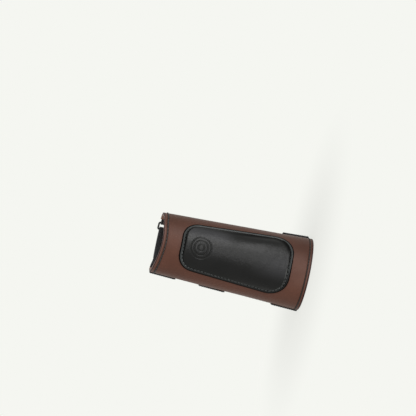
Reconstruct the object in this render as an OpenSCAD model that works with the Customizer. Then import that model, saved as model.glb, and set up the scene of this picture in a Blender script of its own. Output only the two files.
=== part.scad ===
// Leather arm guard for the inner forearm, closed round the arm.
// It stands on its wide elbow end: +Z runs towards the wrist, the padded patch faces -Y
// and the straps close it at the back. All sizes are in millimetres.

/* [Sleeve] */
// Length from the elbow end to the wrist end
guard_len = 183; // [165:1:215]
// Width across the wrist end
wrist_w = 72.6; // [68:0.2:80]
// Depth of the wrist end, front to back
wrist_d = 57; // [54:0.5:66]
// Width across the elbow end
elbow_w = 87.2; // [84:0.2:96]
// Depth of the elbow end, front to back
elbow_d = 76; // [70:0.5:86]
// Thickness of the face leather
leather_t = 2; // [1.4:0.1:2.6]
// Thickness of the suede lining
lining_t = 1; // [0.6:0.1:1.6]

/* [Panel] */
// Flat width of the leather at the wrist end
panel_wrist_w = 134; // [128:1:140]
// Flat width of the leather at the elbow end
panel_elbow_w = 156; // [148:1:162]
// Depth of the hollow in the wrist end's cut, where the hand bends back
wrist_dip = 3; // [0:0.2:6]
// Rounding of the leather's cut edges
edge_round = 0.5; // [0.2:0.1:0.8]
// Distance of the seam from the edge of the leather
seam_inset = 4.2; // [3:0.1:6]
// Width of the groove that the seam's thread lies in
seam_groove_w = 1.4; // [0.8:0.1:2]
// Depth of that groove
seam_groove_d = 0.35; // [0.1:0.05:0.6]
// How far the lining's edge stays behind the leather's long edges
lining_inset = 0.8; // [0.4:0.1:2]

/* [Patch] */
// Distance of the patch from the wrist end
patch_from_wrist = 26.8; // [20:0.2:40]
// Distance of the patch from the elbow end
patch_from_elbow = 22.6; // [10:0.2:30]
// Flat width of the patch at its wrist end
patch_wrist_w = 57; // [54:0.5:66]
// Flat width of the patch at its elbow end
patch_elbow_w = 80; // [74:0.5:90]
// Corner radius at the patch's wrist end
patch_wrist_r = 20; // [12:0.5:22]
// Corner radius at the patch's elbow end
patch_elbow_r = 23; // [18:0.5:27]
// Thickness of the black patch leather
cover_t = 1.2; // [0.8:0.1:1.6]
// Width of the flat rim that is sewn down
rim_w = 2.8; // [2.2:0.1:4]
// Width of the sewn groove inside the rim
groove_w = 1.8; // [1.4:0.1:2.6]
// Height of the puffed centre above the face leather
crown_h = 5.2; // [4:0.1:7]
// Width over which the centre swells to its full height
crown_run = 10.5; // [8:0.5:20]

/* [Straps] */
// Width of the three elastic straps
strap_w = 32; // [24:0.5:34]
// Thickness of the elastic straps
strap_t = 1.2; // [1:0.1:2]
// Distance of the wrist strap's edge from the wrist end
wrist_strap_from = 3.2; // [3.2:0.1:8]
// Distance of the middle strap's middle from the wrist end
middle_strap_at = 77; // [65:0.5:100]
// Distance of the elbow strap's edge from the elbow end
elbow_strap_from = 3.2; // [3.2:0.1:8]
// Length of each strap that is sewn on the leather
strap_lap = 12; // [8:0.5:16]
// How much nearer to the sleeve's ends the sewn ends of the wrist and elbow straps lie
strap_lean = 2.8; // [0:0.1:3]
// Length of the wrist strap's tail, from the fold to its tip
wrist_tail = 36; // [33:0.5:38]
// Length of the middle strap's tail
middle_tail = 42; // [36:0.5:44]
// Length of the elbow strap's tail
elbow_tail = 50; // [38:0.5:58]

/* [Hook and loop] */
// Length of the hook patch under each tail
hook_len = 20; // [14:0.5:21]
// Bare tip of the tail past the hook patch, for the fingers
tip_len = 5; // [3:0.5:6]
// Distance of the hook and loop patches from the strap's edges
pile_inset = 2; // [1:0.5:4]
// Thickness of a hook or loop patch
pile_t = 0.9; // [0.6:0.1:1.2]
// Gap between hooks and loops when closed
pile_gap = 0.3; // [0.25:0.05:0.4]

/* [Rings] */
// Diameter of the ring wire
wire_d = 2.2; // [1.8:0.1:2.4]
// Distance between the two long bars of a ring, centre to centre
ring_pitch = 9; // [8.6:0.1:11]
// Radius on the centre line of the ring's corners
ring_corner_r = 2; // [1.8:0.1:2.6]
// Free space at each side of the strap in its ring
ring_side_gap = 0.7; // [0.6:0.1:0.8]
// Free space round the ring's outer bar inside the strap's fold
fold_play = 1.1; // [1:0.05:1.3]
// Distance of the ring's bar from the middle of that fold
fold_shift = 0.4; // [0.3:0.05:0.5]

/* [Tabs] */
// Thickness of the tab webbing
tab_t = 1.1; // [0.8:0.1:1.3]
// Length of the wrist and middle tabs that is sewn on the leather
tab_lap = 7; // [6:0.5:12]
// Length of the elbow tab that is sewn on the leather
elbow_tab_lap = 13; // [8:0.5:18]
// Distance from the leather's edge to the ring's inner bar
tab_reach = 7; // [6.6:0.1:8.5]
// Free space round the bar inside the tab's loop
tab_play = 0.35; // [0.3:0.05:0.5]

/* [Hidden] */
$fn = 48;

// Glue line between two layers that are sewn together
layer_gap = 0.15;
// Gap between the strap's end and the tail that hinges there
hinge_gap = 0.6;
// Gap between the straps and the skin side of the lining's level
skin_gap = 0.15;
// Steps round the leather, along the straps, tails, tabs and pile patches, and in a
// quarter of a fold
wrap_steps = 34;
strap_steps = 24;
tail_steps = 22;
tab_steps = 12;
pile_steps = 10;
fold_steps = 8;

// Half width of the hollow in the wrist end's cut, and the length of sleeve that follows it
dip_half = 42;
dip_run = 50;

// Rounding of the patch's cut edge, and how far the swell starts above the rim
rim_round = 0.4;
groove_lip = 0.2;
// Power of the swell's curve: higher is fuller
crown_fullness = 2.6;
// Half width of the innermost loop at the patch's wrist end, and how much of its width and
// of its length the ridge loop keeps
core_half_w = 2.6;
ridge_width = 0.4;
ridge_length = 0.93;
// Gaps under and over the foam, and the height of its edge
foam_lift = 0.35;
foam_gap = 0.3;
foam_edge_h = 0.3;
// How far the loop patch reaches past the hook patch
loop_margin = 2;

brown = [0.33, 0.22, 0.18];
suede = [0.5, 0.37, 0.3];
black_leather = [0.12, 0.12, 0.12];
black_elastic = [0.1, 0.1, 0.11];
black_webbing = [0.08, 0.08, 0.09];
foam_grey = [0.3, 0.3, 0.32];
wire_black = [0.16, 0.16, 0.17];

function mix(a, b, f) = a + (b - a) * f;
function ease(f) = let (g = min(1, max(0, f))) g * g * (3 - 2 * g);
function unit(v) = v / norm(v);

// The sleeve is an ellipse that narrows evenly from the elbow end to the wrist end.
// t is the angle round it from the middle of the front, h the height off its face.
function half_w(z) = mix(elbow_w, wrist_w, z / guard_len) / 2;
function half_d(z) = mix(elbow_d, wrist_d, z / guard_len) / 2;
function flatness(z) = 1 - pow(half_d(z) / half_w(z), 2);
function outward(t, z) = unit([half_d(z) * sin(t), -half_w(z) * cos(t)]);
function along(t, z) = unit([half_w(z) * cos(t), half_d(z) * sin(t)]);
function round_arm(t, h, z) =
    [half_w(z) * sin(t), -half_d(z) * cos(t)] + h * outward(t, z);

// Length along the sleeve's face from the front to angle t, and the angle at a length
function face_len(t, z) =
    half_w(z) * (t * PI / 180 * (1 - flatness(z) / 4) + flatness(z) * sin(2 * t) / 8);
function face_rate(t, z) =
    half_w(z) * (1 - flatness(z) * pow(sin(t), 2) / 2) * PI / 180;
function face_angle(s, z, t = undef, turns = 5) =
    let (guess = is_undef(t) ? s / half_w(z) * 180 / PI : t)
    turns == 0 ? guess
        : face_angle(s, z, guess - (face_len(guess, z) - s) / face_rate(guess, z), turns - 1);

// A point of a sewn layer: s along the face, h off it, z up the sleeve
function on_face(s, h, z) =
    let (p = round_arm(face_angle(s, z), h, z)) [p[0], p[1] + centre_y, z];

// Closed solid between two grids of points with the same rows and columns
module sheet_solid(top, bottom) {
    rows = len(top);
    cols = len(top[0]);
    under = rows * cols;
    function at(r, c) = r * cols + c;
    points = concat([for (row = top) each row], [for (row = bottom) each row]);
    skins = [for (r = [0:rows - 2], c = [0:cols - 2]) each [
        [at(r, c), at(r + 1, c), at(r + 1, c + 1)],
        [at(r, c), at(r + 1, c + 1), at(r, c + 1)],
        [under + at(r, c), under + at(r + 1, c + 1), under + at(r + 1, c)],
        [under + at(r, c), under + at(r, c + 1), under + at(r + 1, c + 1)]
    ]];
    ends = [for (c = [0:cols - 2]) each [
        [at(0, c), at(0, c + 1), under + at(0, c)],
        [at(0, c + 1), under + at(0, c + 1), under + at(0, c)],
        [at(rows - 1, c), under + at(rows - 1, c), at(rows - 1, c + 1)],
        [at(rows - 1, c + 1), under + at(rows - 1, c), under + at(rows - 1, c + 1)]
    ]];
    sides = [for (r = [0:rows - 2]) each [
        [at(r, 0), under + at(r, 0), at(r + 1, 0)],
        [at(r + 1, 0), under + at(r, 0), under + at(r + 1, 0)],
        [at(r, cols - 1), at(r + 1, cols - 1), under + at(r, cols - 1)],
        [at(r + 1, cols - 1), under + at(r + 1, cols - 1), under + at(r, cols - 1)]
    ]];
    polyhedron(points = points, faces = concat(skins, ends, sides));
}

// Closed solid through a stack of loops, each with its first point and its middle point on
// the centre line, so that both end caps are ladders from one half of a loop to the other
module loop_solid(loops) {
    n = len(loops[0]);
    last = (len(loops) - 1) * n;
    function cap(base, flip) = [for (i = [0:n / 2 - 1]) each [
        if (i > 0) flip
            ? [base + i, base + n - i, base + i + 1]
            : [base + i, base + i + 1, base + n - i],
        if (i < n / 2 - 1) flip
            ? [base + i + 1, base + (n - i) % n, base + n - i - 1]
            : [base + i + 1, base + n - i - 1, base + (n - i) % n]
    ]];
    walls = [for (k = [0:len(loops) - 2], i = [0:n - 1])
        let (a = k * n + i, b = k * n + (i + 1) % n) each [[a, a + n, b], [b, a + n, b + n]]];
    polyhedron(
        points = [for (ring = loops) each ring],
        faces = concat(cap(0, false), walls, cap(last, true)));
}

// Face leather
function panel_half(z) = mix(panel_elbow_w, panel_wrist_w, z / guard_len) / 2;

// The wrist end is cut hollow: the rows near it follow the cut, the rest stay level
function cut_z(s, z) =
    z - wrist_dip * (1 - ease(abs(s) / dip_half)) * ease((z - guard_len + dip_run) / dip_run / 0.8);
function on_panel(s, h, z) = on_face(s, h, cut_z(s, z));

// How far the face lies below its level at a distance d from the nearest edge
function edge_drop(d) =
    d < edge_round ? edge_round * (1 - sqrt(1 - pow(1 - d / edge_round, 2)))
        : seam_groove_d * max(0, 1 - abs(d - seam_inset) / (seam_groove_w / 2));
edge_steps = [
    0, edge_round * 0.3, edge_round,
    seam_inset - seam_groove_w / 2, seam_inset, seam_inset + seam_groove_w / 2
];
function edge_rows(total, inner) = concat(
    edge_steps,
    inner,
    [for (i = [len(edge_steps) - 1:-1:0]) total - edge_steps[i]]);
body_rows = [for (i = [1:4]) guard_len * i / 5];
panel_rows = edge_rows(guard_len, concat(body_rows, [guard_len - dip_run / 5]));

function panel_cols(z, inset = 0) =
    let (
        full = 2 * panel_half(z) - 2 * inset,
        rest = seam_inset + seam_groove_w / 2,
        inner = [for (i = [1:wrap_steps - 1]) mix(rest, full - rest, i / wrap_steps)])
    [for (s = edge_rows(full, inner)) s - full / 2];

module leather_panel() {
    color(brown)
    sheet_solid(
        [for (z = panel_rows) [for (s = panel_cols(z))
            on_panel(s, -edge_drop(min(z, guard_len - z, panel_half(z) - abs(s))), z)]],
        [for (z = panel_rows) [for (s = panel_cols(z)) on_panel(s, -leather_t, z)]]);
}

// Suede on the skin side, sewn in by the same seam
lining_face = -leather_t - layer_gap;
skin_face = lining_face - lining_t;

module lining() {
    rows = concat([0], body_rows, [guard_len - dip_run / 5, guard_len]);
    color(suede)
    sheet_solid(
        [for (z = rows) [for (s = panel_cols(z, lining_inset)) on_panel(s, lining_face, z)]],
        [for (z = rows) [for (s = panel_cols(z, lining_inset)) on_panel(s, skin_face, z)]]);
}

// Black patch
patch_low = patch_from_elbow;
patch_high = guard_len - patch_from_wrist;
patch_slope = atan((patch_elbow_w - patch_wrist_w) / 2 / (patch_high - patch_low));
patch_side = patch_wrist_w / 2 * cos(patch_slope) + patch_high * sin(patch_slope);

// Half width that is left inside an inset d, near each end of the patch
function patch_left(d, end_w) = end_w / 2 - d;
function patch_corner(d, end_w, r) =
    min(max(r - d, patch_left(d, end_w) * 0.5), patch_left(d, end_w) * 0.9);

// One loop of the patch at an inset d from its outline: s and z of each point
function patch_outline(d) =
    let (
        top = patch_high - d,
        low = patch_low + d,
        r1 = patch_corner(d, patch_wrist_w, patch_wrist_r),
        r2 = patch_corner(d, patch_elbow_w, patch_elbow_r),
        side = patch_side - d,
        x1 = (side - r1 - (top - r1) * sin(patch_slope)) / cos(patch_slope),
        x2 = (side - r2 - (low + r2) * sin(patch_slope)) / cos(patch_slope),
        a1 = [x1 + r1 * cos(patch_slope), top - r1 + r1 * sin(patch_slope)],
        a2 = [x2 + r2 * cos(patch_slope), low + r2 + r2 * sin(patch_slope)],
        half = concat(
            [for (i = [0:4]) [x1 * i / 5, top]],
            [for (i = [0:6]) let (a = mix(90, patch_slope, i / 7))
                [x1 + r1 * cos(a), top - r1 + r1 * sin(a)]],
            [for (i = [0:3]) mix(a1, a2, i / 4)],
            [for (i = [0:6]) let (a = mix(patch_slope, -90, i / 7))
                [x2 + r2 * cos(a), low + r2 + r2 * sin(a)]],
            [for (i = [0:6]) [x2 * (6 - i) / 6, low]]))
    concat(half, [for (i = [len(half) - 2:-1:1]) [-half[i][0], half[i][1]]]);

function patch_loop(d, h) = [for (p = patch_outline(d)) on_face(p[0], h, p[1])];

// A last, narrow loop within the innermost one, so that the middle stays curved
function ridge_loop(h) = [for (p = patch_outline(patch_core))
    on_face(ridge_width * p[0], h, mix((patch_low + patch_high) / 2, p[1], ridge_length))];

// Height of the cover's outer face at an inset d, past the rim and its groove
crown_at = rim_w + groove_w;
rim_h = layer_gap + cover_t;
function crown(d) =
    let (q = min(1, max(0, (d - crown_at) / crown_run)))
    mix(rim_h + groove_lip, crown_h, 1 - pow(1 - q, crown_fullness));
patch_core = patch_wrist_w / 2 - core_half_w;
crown_insets = [for (f = [0, 0.05, 0.14, 0.27, 0.44, 0.64, 0.84, 1]) mix(crown_at, patch_core, f)];
// The loops under the crown: fewer, and the same ones in the cover and in its foam
under_insets = [for (i = [3, 5, 7]) crown_insets[i]];

module patch_cover() {
    pocket_edge = crown_insets[2];
    pocket = concat(
        [ridge_loop(crown_h - cover_t)],
        [for (i = [2, 1, 0]) patch_loop(under_insets[i], crown(under_insets[i]) - cover_t)],
        [patch_loop(pocket_edge, crown(pocket_edge) - cover_t)]);
    sole = [for (d = [crown_insets[1] + cover_t / 2, rim_w, 0]) patch_loop(d, layer_gap)];
    rim = [
        patch_loop(0, rim_h - rim_round), patch_loop(rim_round, rim_h),
        patch_loop(rim_w, rim_h), patch_loop(rim_w + groove_w / 2, rim_h - cover_t / 2)
    ];
    face = [for (d = crown_insets) patch_loop(d, crown(d))];
    color(black_leather)
    loop_solid(concat(pocket, sole, rim, face, [ridge_loop(crown_h)]));
}

module patch_foam() {
    edge = crown_insets[2] + cover_t / 2;
    below = cover_t + foam_gap;
    color(foam_grey)
    loop_solid(concat(
        [ridge_loop(foam_lift)],
        [for (d = [patch_core, mix(edge, patch_core, 0.5), edge]) patch_loop(d, foam_lift)],
        [patch_loop(edge, foam_lift + foam_edge_h)],
        [for (d = under_insets) patch_loop(d, crown(d) - below)],
        [ridge_loop(crown_h - below)]));
}

// Straps. Each strap set is [middle height, tail length, tab lap, lean of the sewn end].
WRIST = [guard_len - wrist_strap_from - strap_w / 2, wrist_tail, tab_lap, strap_lean];
MIDDLE = [guard_len - middle_strap_at, middle_tail, tab_lap, 0];
ELBOW = [elbow_strap_from + strap_w / 2, elbow_tail, elbow_tab_lap, -strap_lean];

wire_r = wire_d / 2;
fold_r = wire_r + fold_play + strap_t / 2;
loop_r = wire_r + tab_play + tab_t / 2;
// Levels of the strap's middle off the face: on the leather, on the arm and at the ring
strap_on = layer_gap + strap_t / 2;
strap_free = skin_face + skin_gap + strap_t / 2;
ring_level = strap_free + fold_r;
loop_level = strap_free + strap_t / 2 + layer_gap + pile_t / 2;
hook_level = loop_level + pile_t + pile_gap;
tail_level = hook_level + pile_t / 2 + layer_gap + strap_t / 2;
// Length over which the tail comes down from the fold, and the strap off the leather
tail_drop = 11;
climb = 8;
// Free space at the leather's edge before a strap or a tab leaves its level
edge_clear = 1.6;

// Widest and narrowest reach of the leather's edge over a strap's width, as angles
function edge_far(k) = max([for (e = [-0.5, 0.5]) face_angle(panel_half(k[0] + e * strap_w), k[0])]);
function edge_mid(k) = face_angle(panel_half(k[0]), k[0]);

// Angles of the ring's bars and of the fold, at the middle of the strap
function degrees(mm, t, k) = mm / face_rate(t, k[0]);
function inner_bar_t(k) = edge_far(k) + degrees(tab_reach, edge_far(k), k);
function fold_t(k) = let (t = inner_bar_t(k)) t + degrees(ring_pitch + fold_shift, t, k);

// Directions at the fold: along the face towards the tab, and off the face
function fold_along(k) = -along(fold_t(k), k[0]);
function fold_out(k) = outward(fold_t(k), k[0]);
function fold_centre(k, z) = round_arm(fold_t(k), ring_level, z);
function outer_bar(k, z) = fold_centre(k, z) + fold_shift * fold_along(k);
// The ring lies along the chord between its bars
function ring_dir(k) = -along((inner_bar_t(k) + fold_t(k)) / 2, k[0]);
function inner_bar(k, z) = outer_bar(k, z) + ring_pitch * ring_dir(k);
// The tail hinges on the fold's outer skin, so that it folds right over without binding
function hinge_line(k, z) =
    fold_centre(k, z) + (fold_r + strap_t / 2) * fold_out(k) - hinge_gap / 2 * fold_along(k);

// A line of points thickened to both sides: the points of its two faces
function face_of(path, side) = [for (i = [0:len(path) - 1])
    let (
        d = unit(path[min(i + 1, len(path) - 1)] - path[max(i - 1, 0)]))
    path[i] + side * [-d[1], d[0]]];

// A band of webbing over the height from low to high, between a path at each height. lean
// holds how far the band lies off that height at each point of its path, where it does.
module band(low_path, high_path, low, high, thick, lean = []) {
    function lift(p, z) = [for (i = [0:len(p) - 1])
        [p[i][0], p[i][1] + centre_y, z + (len(lean) > 0 ? lean[i] : 0)]];
    sheet_solid(
        [lift(face_of(low_path, -thick / 2), low), lift(face_of(high_path, -thick / 2), high)],
        [lift(face_of(low_path, thick / 2), low), lift(face_of(high_path, thick / 2), high)]);
}

function low_of(k, w) = k[0] - w / 2;
function high_of(k, w) = k[0] + w / 2;

// Elastic strap: sewn on the leather, over its edge, round the arm and up through the ring
function strap_start(k) = 360 - edge_mid(k) + degrees(strap_lap, edge_mid(k), k);
function strap_edge(k) = 360 - edge_far(k) - degrees(edge_clear, edge_far(k), k);
strap_shares = [for (i = [0:strap_steps - 1]) i / strap_steps];
fold_angles = [for (i = [0:2 * fold_steps]) mix(-90, 90, i / (2 * fold_steps))];

// The strap runs straight from its ring to the tip of its tail, and leans from there on
function lean_at(k, t) =
    let (tip = tail_angle(k, k[1])) k[3] * ease((t - tip) / (strap_edge(k) - tip));

function strap_path(k, z) =
    let (
        edge = strap_edge(k),
        down = edge - degrees(climb, edge, k),
        c = fold_centre(k, z))
    concat(
        [for (f = strap_shares) let (t = mix(strap_start(k), fold_t(k), f))
            round_arm(t, mix(strap_on, strap_free, ease((edge - t) / (edge - down))),
                z + lean_at(k, t))],
        [for (a = fold_angles)
            c + fold_r * (cos(a) * fold_along(k) + sin(a) * fold_out(k))]);

module strap(k) {
    low = low_of(k, strap_w);
    high = high_of(k, strap_w);
    lean = concat(
        [for (f = strap_shares) lean_at(k, mix(strap_start(k), fold_t(k), f))],
        [for (a = fold_angles) 0]);
    color(black_elastic)
    band(strap_path(k, low), strap_path(k, high), low, high, strap_t, lean);
}

// Tail: from the fold back over the strap, down onto the loop patch
function tail_angle(k, x) = fold_t(k) + degrees(x, fold_t(k) + 20, k);
function tail_path(k, z) =
    [for (i = [0:tail_steps]) let (x = mix(hinge_gap, k[1], i / tail_steps))
        round_arm(tail_angle(k, x), mix(ring_level + fold_r, tail_level, ease(x / tail_drop)), z)];

module tail(k) {
    low = low_of(k, strap_w);
    high = high_of(k, strap_w);
    color(black_elastic)
    band(tail_path(k, low), tail_path(k, high), low, high, strap_t);
}

// A patch of hooks or loops that follows the strap from x1 to x2 along the tail
function pile_path(k, z, level, x1, x2) =
    [for (i = [0:pile_steps])
        round_arm(tail_angle(k, mix(x1, x2, i / pile_steps)), level, z)];

module pile(k, level, x1, x2) {
    low = low_of(k, strap_w - 2 * pile_inset);
    high = high_of(k, strap_w - 2 * pile_inset);
    band(pile_path(k, low, level, x1, x2), pile_path(k, high, level, x1, x2), low, high, pile_t);
}

module hook(k) {
    color(black_webbing)
    pile(k, hook_level, k[1] - tip_len - hook_len, k[1] - tip_len);
}

module loop(k) {
    color(black_webbing)
    pile(k, loop_level, k[1] - tip_len - hook_len - loop_margin, k[1]);
}

// Tab: folded round the ring's inner bar, both legs sewn on the leather's face.
// side is 1 for the outer leg and -1 for the leg next to the leather.
function tab_leg(k, z, t, side) =
    let (
        bar = inner_bar_t(k),
        edge = edge_far(k) + degrees(edge_clear, edge_far(k), k),
        settled = bar - degrees(wire_r, bar, k),
        level = layer_gap + tab_t / 2 + (side > 0 ? tab_t + layer_gap : 0),
        straight = inner_bar(k, z) + side * loop_r * outward(bar, k[0])
            - (bar - t) * face_rate(bar, k[0]) * along(bar, k[0]))
    mix(round_arm(t, level, z), straight, ease((t - edge) / (settled - edge)));

function tab_path(k, z) =
    let (
        back = edge_mid(k) - degrees(k[2], edge_mid(k), k),
        bar = inner_bar_t(k),
        angles = [for (i = [0:tab_steps - 1]) mix(back, bar, i / tab_steps)])
    concat(
        [for (t = angles) tab_leg(k, z, t, 1)],
        [for (i = [0:2 * fold_steps]) let (a = mix(90, -90, i / (2 * fold_steps)))
            inner_bar(k, z) + loop_r
                * (cos(a) * along(bar, k[0]) + sin(a) * outward(bar, k[0]))],
        [for (i = [tab_steps - 1:-1:0]) tab_leg(k, z, angles[i], -1)]);

module tab(k) {
    low = low_of(k, strap_w);
    high = high_of(k, strap_w);
    color(black_webbing)
    band(tab_path(k, low), tab_path(k, high), low, high, tab_t);
}

// Wire ring in the frame of its outer bar: x towards the tab, y off the arm, z up the bar
function bar_vec(k) =
    let (low = outer_bar(k, low_of(k, strap_w)), high = outer_bar(k, high_of(k, strap_w)))
    unit([high[0] - low[0], high[1] - low[1], strap_w]);

module in_ring_frame(k) {
    up = bar_vec(k);
    flat = [ring_dir(k)[0], ring_dir(k)[1], 0];
    x = unit(flat - (flat * up) * up);
    y = cross(up, x);
    o = outer_bar(k, k[0]);
    multmatrix([
        [x[0], y[0], up[0], o[0]],
        [x[1], y[1], up[1], o[1] + centre_y],
        [x[2], y[2], up[2], k[0]],
        [0, 0, 0, 1]
    ]) children();
}

module ring(k) {
    half = strap_w / 2 + ring_side_gap + wire_r;
    color(wire_black)
    in_ring_frame(k) {
        for (x = [0, ring_pitch])
            translate([x, 0, -half + ring_corner_r])
            cylinder(r = wire_r, h = 2 * (half - ring_corner_r));
        for (z = [-half, half])
            translate([ring_corner_r, 0, z])
            rotate([0, 90, 0])
            cylinder(r = wire_r, h = ring_pitch - 2 * ring_corner_r);
        for (c = [0:3])
            translate([c % 3 == 0 ? ring_pitch - ring_corner_r : ring_corner_r, 0,
                c < 2 ? half - ring_corner_r : ring_corner_r - half])
            rotate([90, 0, 0])
            rotate_extrude(angle = 90, start = c * 90)
            translate([ring_corner_r, 0])
            circle(r = wire_r);
    }
}

// The origin is at the middle of the whole part's box, front to back
front_reach = max([for (d = crown_insets) half_d(patch_low + d) + crown(d)]);
back_reach = half_d(low_of(ELBOW, strap_w)) + tail_level + strap_t / 2;
centre_y = (front_reach - back_reach) / 2;

// Each ring's axis and inner bar, and the line that its strap's tail peels round
echo(joints = [for (k = [WRIST, MIDDLE, ELBOW])
    [bar_vec(k), inner_bar(k, k[0]), hinge_line(k, k[0]), k[0]]]);

leather_panel();
lining();
patch_cover();
patch_foam();
strap(WRIST);  // strap_wrist
strap(MIDDLE);  // strap_middle
strap(ELBOW);  // strap_elbow
tail(WRIST);  // tail_wrist
tail(MIDDLE);  // tail_middle
tail(ELBOW);  // tail_elbow
hook(WRIST);  // hook_wrist
hook(MIDDLE);  // hook_middle
hook(ELBOW);  // hook_elbow
loop(WRIST);  // loop_wrist
loop(MIDDLE);  // loop_middle
loop(ELBOW);  // loop_elbow
ring(WRIST);  // ring_wrist
ring(MIDDLE);  // ring_middle
ring(ELBOW);  // ring_elbow
tab(WRIST);  // tab_wrist
tab(MIDDLE);  // tab_middle
tab(ELBOW);  // tab_elbow
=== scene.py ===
"""Leather arm guard, closed to a sleeve: its looks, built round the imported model.

The guard stands on its wide elbow end. Z runs towards the wrist, the padded patch faces -Y,
the straps are sewn on at the -X side and pass through wire rings at the +X side.
"""
import math

import bpy
import numpy as np
from mathutils import Matrix, Vector


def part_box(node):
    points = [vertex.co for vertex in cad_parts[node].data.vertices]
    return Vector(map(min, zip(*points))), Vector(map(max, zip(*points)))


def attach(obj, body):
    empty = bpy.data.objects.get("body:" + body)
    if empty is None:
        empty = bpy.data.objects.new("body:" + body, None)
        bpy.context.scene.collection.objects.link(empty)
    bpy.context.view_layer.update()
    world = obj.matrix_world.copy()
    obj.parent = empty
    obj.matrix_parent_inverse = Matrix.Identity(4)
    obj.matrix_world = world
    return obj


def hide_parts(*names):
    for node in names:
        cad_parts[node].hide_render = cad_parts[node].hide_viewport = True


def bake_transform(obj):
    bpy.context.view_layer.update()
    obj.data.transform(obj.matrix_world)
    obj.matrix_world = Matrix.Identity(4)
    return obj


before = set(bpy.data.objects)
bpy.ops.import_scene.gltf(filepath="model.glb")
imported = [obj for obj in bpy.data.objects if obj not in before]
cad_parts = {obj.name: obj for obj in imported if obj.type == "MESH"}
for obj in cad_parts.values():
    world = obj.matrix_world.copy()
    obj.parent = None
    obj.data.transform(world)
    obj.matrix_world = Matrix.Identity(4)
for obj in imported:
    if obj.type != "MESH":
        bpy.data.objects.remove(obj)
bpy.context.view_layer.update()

mm = 0.001
scene = bpy.context.scene


# View. The photograph looks at the patch from a little towards the wrist end and the lower
# long edge, with a long lens. Its picture is turned, so that the wrist end points left and up.

picture, film_w = 416, 36
wrist_pixel, elbow_pixel = np.array([156.1, 241.7]), np.array([305.1, 274.7])
view_azimuth, view_elevation = math.radians(-8.7), math.radians(6.5)
view_distance = 2.8

guard_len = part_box("leather_panel")[1].z
towards_camera = Vector((
    math.sin(view_azimuth) * math.cos(view_elevation),
    -math.cos(view_azimuth) * math.cos(view_elevation),
    math.sin(view_elevation)))
wrist_way = (Vector((0, 0, 1)) - towards_camera.z * towards_camera).normalized()
side_way = wrist_way.cross(towards_camera)
across, down = elbow_pixel - wrist_pixel
tilt = math.atan2(down, across)
picture_right = side_way * math.sin(tilt) - wrist_way * math.cos(tilt)
picture_up = side_way * math.cos(tilt) + wrist_way * math.sin(tilt)

pixel = guard_len * math.cos(view_elevation) / math.hypot(across, down)
off_centre = (wrist_pixel + elbow_pixel) / 2 - picture / 2
aim = (Vector((0, 0, guard_len / 2))
       - picture_right * off_centre[0] * pixel + picture_up * off_centre[1] * pixel)


def placed(name, data):
    """A new object in the scene that holds a mesh, a lamp or a camera."""
    thing = bpy.data.objects.new(name, data)
    scene.collection.objects.link(thing)
    return thing


camera_data = bpy.data.cameras.new("view")
camera_data.sensor_width = film_w
camera_data.lens = film_w * view_distance / (picture * pixel)
camera_data.clip_end = 20
scene.camera = placed("view", camera_data)
turn = Matrix((picture_right, picture_up, towards_camera)).transposed().to_4x4()
scene.camera.matrix_world = Matrix.Translation(aim + towards_camera * view_distance) @ turn
scene.view_settings.view_transform = "Standard"


# Studio. A pale floor under the elbow end, soft light from all round that is strongest from
# the strap side, and two soft boxes that give the leather its long highlight.

bright_way = (-0.82, -0.57, 0)
bright_light, faint_light = 0.92, 0.28
floor_radius, floor_corners, floor_drop = 1.6, 96, 0.1 * mm
shade_from, shade_to, shade = 0.05, 0.22, 0.75


def tone(red, green, blue):
    """A colour as a picture holds it, 0 to 255, in the linear values that nodes take."""
    return (*[v / 12.92 if v <= 0.04045 else ((v + 0.055) / 1.055) ** 2.4
              for v in (red / 255, green / 255, blue / 255)], 1)


class Wire:
    """An output of a node that takes part in arithmetic."""

    def __init__(self, nodes, socket):
        self.nodes = nodes
        self.socket = socket

    def __add__(self, other):
        return self.nodes.math("ADD", self, other)

    def __sub__(self, other):
        return self.nodes.math("SUBTRACT", self, other)

    def __rsub__(self, other):
        return self.nodes.math("SUBTRACT", other, self)

    def __mul__(self, other):
        return self.nodes.math("MULTIPLY", self, other)

    __radd__, __rmul__ = __add__, __mul__

    def other(self, name):
        """Another output of the same node."""
        return Wire(self.nodes, self.socket.node.outputs[name])

    def sine(self):
        return self.nodes.math("SINE", self)

    def size(self):
        return self.nodes.math("ABSOLUTE", self)

    def or_more(self, other):
        return self.nodes.math("MAXIMUM", self, other)

    def step(self, low, high, from_value=0.0, to_value=1.0):
        """Goes softly from one value to the other while the wire goes from low to high."""
        return self.nodes.node("ShaderNodeMapRange", {"interpolation_type": "SMOOTHSTEP"}, {
            "Value": self, "From Min": low, "From Max": high,
            "To Min": from_value, "To Max": to_value})

    def band(self, low, low_full, high_full, high):
        """1 between two limits, with a soft edge at each."""
        return self.step(low, low_full) * self.step(high, high_full)


class Nodes:
    """The nodes of one tree: of a finish, of the surroundings or of a shape."""

    def __init__(self, tree):
        self.tree = tree
        tree.nodes.clear()

    def node(self, kind, settings=(), inputs=(), output=0):
        """A node, its settings first and then the values or wires of its sockets."""
        made = self.tree.nodes.new(kind)
        for name, value in dict(settings).items():
            setattr(made, name, value)
        for name, value in dict(inputs).items():
            if isinstance(value, Wire):
                self.tree.links.new(value.socket, made.inputs[name])
            else:
                made.inputs[name].default_value = value
        return Wire(self, made.outputs[output]) if len(made.outputs) else None

    def math(self, operation, a, b=0.0):
        return self.node("ShaderNodeMath", {"operation": operation}, {0: a, 1: b})

    def place(self):
        return self.node("ShaderNodeTexCoord", output="Object")

    def either(self, share, a, b):
        """Shader a, giving way to b as the share grows to 1."""
        return self.node("ShaderNodeMixShader", inputs={0: share, 1: a, 2: b})

    def seen_directly(self):
        """1 for rays that show the surroundings: camera, mirror and glass rays."""
        path = self.node("ShaderNodeLightPath")
        seen = path.other("Is Camera Ray").or_more(path.other("Is Glossy Ray"))
        return seen.or_more(path.other("Is Transmission Ray"))


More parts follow.
